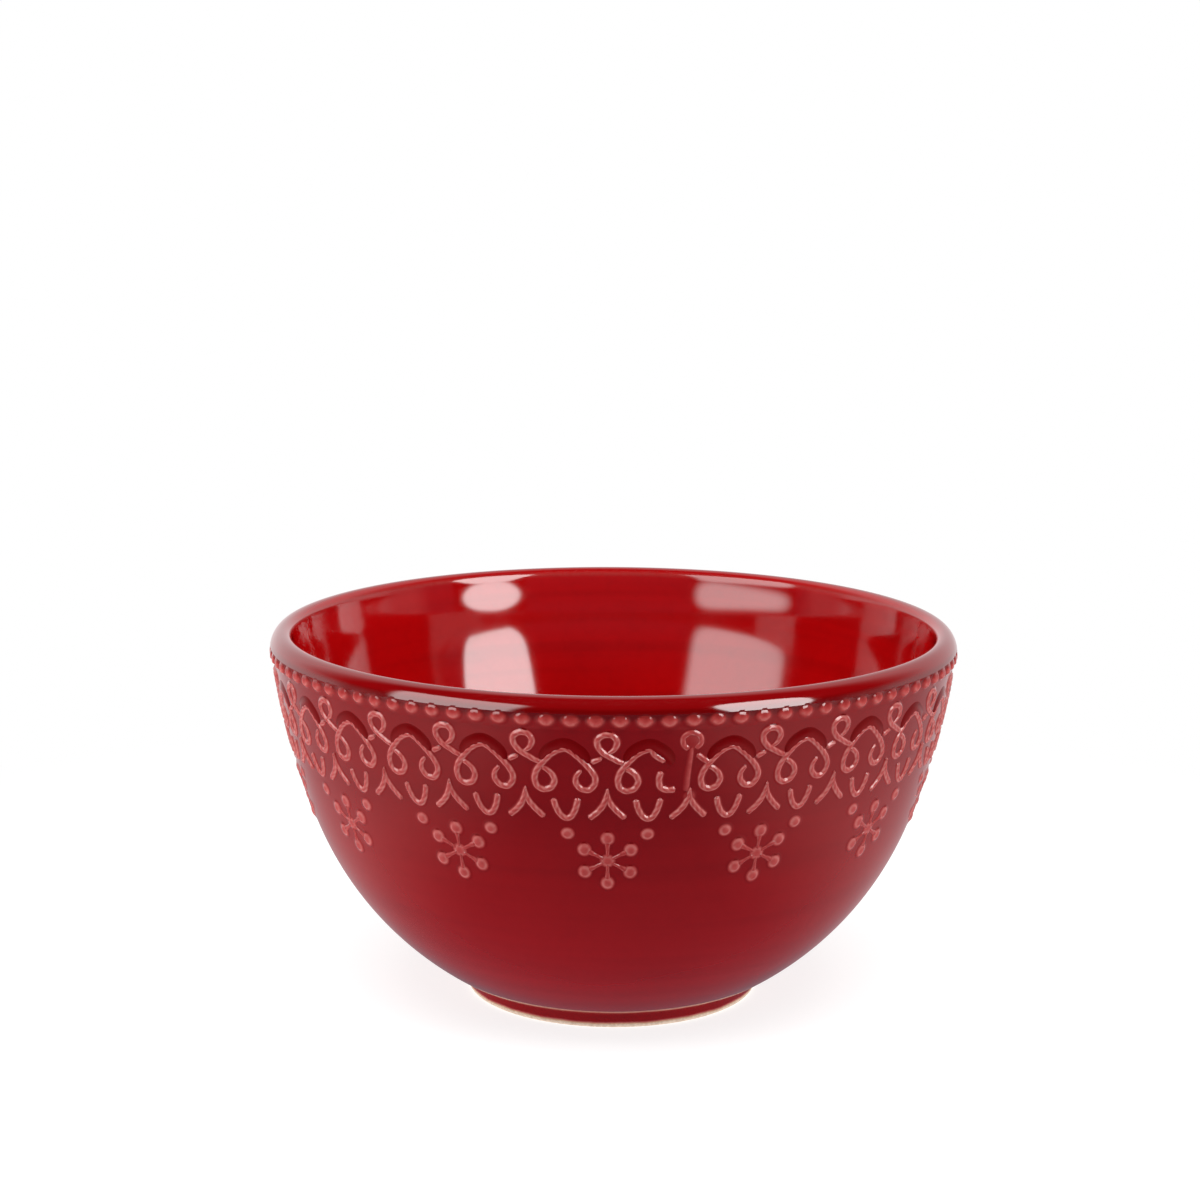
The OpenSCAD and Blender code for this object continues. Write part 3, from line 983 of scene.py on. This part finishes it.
def seen_white(finish):
    """1 for what the camera, the glaze and glass see, and 0 for light on its way."""
    path = finish.node("ShaderNodeLightPath")
    seen = path.out("Is Camera Ray") + path.out("Is Glossy Ray") + path.out("Is Transmission Ray")
    return seen.maths("MINIMUM", seen, 1)


def floor_finish():
    """Paper that glows under and beside the bowl for light on its way, and evenly for what is seen."""
    finish = Finish("white_floor")
    away = finish.node("ShaderNodeVectorMath", {"operation": "LENGTH"}, {0: finish.place}, "Value")
    paper = finish.node("ShaderNodeBsdfDiffuse", {}, {"Color": floor_grey})
    across = finish.node("ShaderNodeSeparateXYZ", {}, {"Vector": finish.place}, "X")
    sided = 1 + foot_glow_left * across.ramp(-0.01, -0.06) + foot_glow_right * across.ramp(0.01, 0.06)
    glow = floor_glow + foot_glow * sided * (1 - away.ramp(0.06, 0.14))
    nearby = 1 - abs(across).ramp(0.20, 0.40)
    glow = glow + nearby * (left_glow * across.ramp(-0.05, -0.15) + right_glow * across.ramp(0.05, 0.15))
    seen = seen_white(finish)
    glow = glow + (seen_glow - glow) * seen
    glow = finish.node("ShaderNodeEmission", {}, {"Color": glow, "Strength": 1})
    paper = finish.node("ShaderNodeAddShader", {}, {0: paper, 1: glow})
    room = finish.node("ShaderNodeEmission", {}, {"Color": white, "Strength": 1})
    far = away.ramp(near_floor, far_floor) * seen
    mixed = finish.node("ShaderNodeMixShader", {}, {0: far, 1: paper, 2: room})
    finish.node("ShaderNodeOutputMaterial", {}, {"Surface": mixed})
    return finish.material


def mirrored(finish, colour):
    """Ends a finish that gives no light of its own, but is seen in the glaze."""
    glow = finish.node("ShaderNodeEmission", {}, {"Color": colour, "Strength": 1})
    finish.node("ShaderNodeOutputMaterial", {}, {"Surface": glow})
    finish.material.cycles.emission_sampling = "NONE"
    return finish.material


def cloth_finish():
    """Dark in front and overhead, lighter low down beside the bowl and behind it."""
    finish = Finish("dark_cloth")
    place = finish.node("ShaderNodeSeparateXYZ", {}, {"Vector": finish.place})
    depth = place.out("Y")
    aside = abs(place.out("X")).ramp(0.04, 0.13) * depth.ramp(-0.45, -0.15)
    lighter = 1 - (1 - aside) * (1 - depth.ramp(-0.06, 0.06))
    behind = depth.ramp(0.04, 0.35)
    low = 1 - place.out("Z").ramp(0.15, 0.70) * (1 - depth.ramp(0.10, 1.40))
    cloth = lighter.blend(front_cloth, side_cloth)
    backdrop = place.out("X").ramp(-0.9, 0.9).blend(back_left_cloth, back_right_cloth)
    return mirrored(finish, low.blend(black, behind.blend(cloth, backdrop)))


def stage_piece(name, corners, faces, finish):
    """A piece of the stage from its corners and faces."""
    mesh = bpy.data.meshes.new(name)
    mesh.from_pydata(corners, [], faces)
    mesh.materials.append(finish)
    made = bpy.data.objects.new(name, mesh)
    bpy.context.scene.collection.objects.link(made)
    return made


def only_mirrored(made):
    """Hides a piece of the stage from all but reflections."""
    made.visible_camera = False
    made.visible_diffuse = False
    made.visible_shadow = False


floor_corners = [(x * floor_half, y * floor_half, 0) for x, y in flat_corners]
stage_piece("floor", floor_corners, [(0, 1, 2, 3)], floor_finish())
cloth_corners = [(x * cloth_half, y * cloth_half, z) for z in (cloth_lift, cloth_h) for x, y in flat_corners]
cloth_sides = [(0, 1, 2, 3), (4, 5, 6, 7), (0, 1, 5, 4), (1, 2, 6, 5), (2, 3, 7, 6), (3, 0, 4, 7)]
only_mirrored(stage_piece("dark_cloth", cloth_corners, cloth_sides, cloth_finish()))

bowl_middle = Vector((0, 0, rim_top / 2))


def facing_bowl(azimuth, elevation, distance):
    """A place that faces the bowl, at angles from the front towards +X and up."""
    turn = math.radians(azimuth)
    lift = math.radians(elevation)
    way = Vector((math.sin(turn) * math.cos(lift), -math.cos(turn) * math.cos(lift), math.sin(lift)))
    return Matrix.Translation(bowl_middle + way * distance) @ way.to_track_quat("Z", "Y").to_matrix().to_4x4()


def softbox(name, azimuth, elevation, distance, width, height, square, bright, soft):
    """A bright cloth that only the glaze mirrors: an oval if square is 2, with corners if it is more."""
    finish = Finish(name)
    place = finish.node("ShaderNodeSeparateXYZ", {}, {"Vector": finish.place})
    aside = abs(place.out("X")) / (width / 2)
    upward = abs(place.out("Y")) / (height / 2)
    glow = bright * (1 - (aside ** square + upward ** square) ** (1 / square)).ramp(0, soft)
    corners = [(x * width / 2, y * height / 2, 0) for x, y in flat_corners]
    made = stage_piece(name, corners, [(0, 1, 2, 3)], mirrored(finish, glow))
    made.matrix_world = facing_bowl(azimuth, elevation, distance)
    only_mirrored(made)


def soft_light(name, azimuth, elevation, distance, width, height, radiance):
    """A flat lamp that lights the bowl, but isn't mirrored in its glaze."""
    lamp = bpy.data.lights.new(name, "AREA")
    lamp.shape = "RECTANGLE"
    lamp.size = width
    lamp.size_y = height
    lamp.energy = radiance * math.pi * width * height
    made = bpy.data.objects.new(name, lamp)
    made.matrix_world = facing_bowl(azimuth, elevation, distance)
    made.visible_camera = False
    made.visible_glossy = False
    bpy.context.scene.collection.objects.link(made)


softbox(
    "left_softbox", azimuth=-52.5, elevation=24, distance=1.0,
    width=0.83, height=0.65, square=7, bright=3.7, soft=0.20,
)
softbox(
    "right_softbox", azimuth=51, elevation=24, distance=1.0,
    width=0.56, height=0.65, square=2.6, bright=7.2, soft=0.06,
)
soft_light("front_top", azimuth=0, elevation=70, distance=1.5, width=1.6, height=1.0, radiance=5.5)
soft_light("left_fill", azimuth=-88, elevation=9, distance=1.2, width=0.9, height=0.33, radiance=5.0)
soft_light("right_fill", azimuth=88, elevation=9, distance=1.2, width=0.9, height=0.33, radiance=5.0)

room_world = bpy.data.worlds.new("white_room")
room_world.use_nodes = True
bpy.context.scene.world = room_world
room = Tree(room_world.node_tree)
room.tree.nodes.clear()
seen = seen_white(room)
sky = room.node("ShaderNodeBackground", {}, {"Color": ambient + (1 - ambient) * seen, "Strength": 1})
room.node("ShaderNodeOutputWorld", {}, {"Surface": sky})

# Camera: a long lens a little above the rim, turned so that one snowflake faces it. It looks
# down only a little, so that the bowl stands low in a square frame.
camera_place = Vector((-2.981, -563.08, 192.85)) * MM
camera_down = 10.668
camera_roll = 0.261
camera_turn = 1.07
sensor_w = 36
focal_length = 78.51
lens = bpy.data.cameras.new("camera")
lens.sensor_width = sensor_w
lens.lens = focal_length
camera = bpy.data.objects.new("camera", lens)
camera.matrix_world = (
    Matrix.Rotation(math.radians(camera_turn), 4, "Z")
    @ Matrix.Translation(camera_place)
    @ Matrix.Rotation(math.radians(90 - camera_down), 4, "X")
    @ Matrix.Rotation(math.radians(camera_roll), 4, "Z")
)
bpy.context.scene.collection.objects.link(camera)
bpy.context.scene.camera = camera
bpy.context.scene.view_settings.view_transform = "Standard"
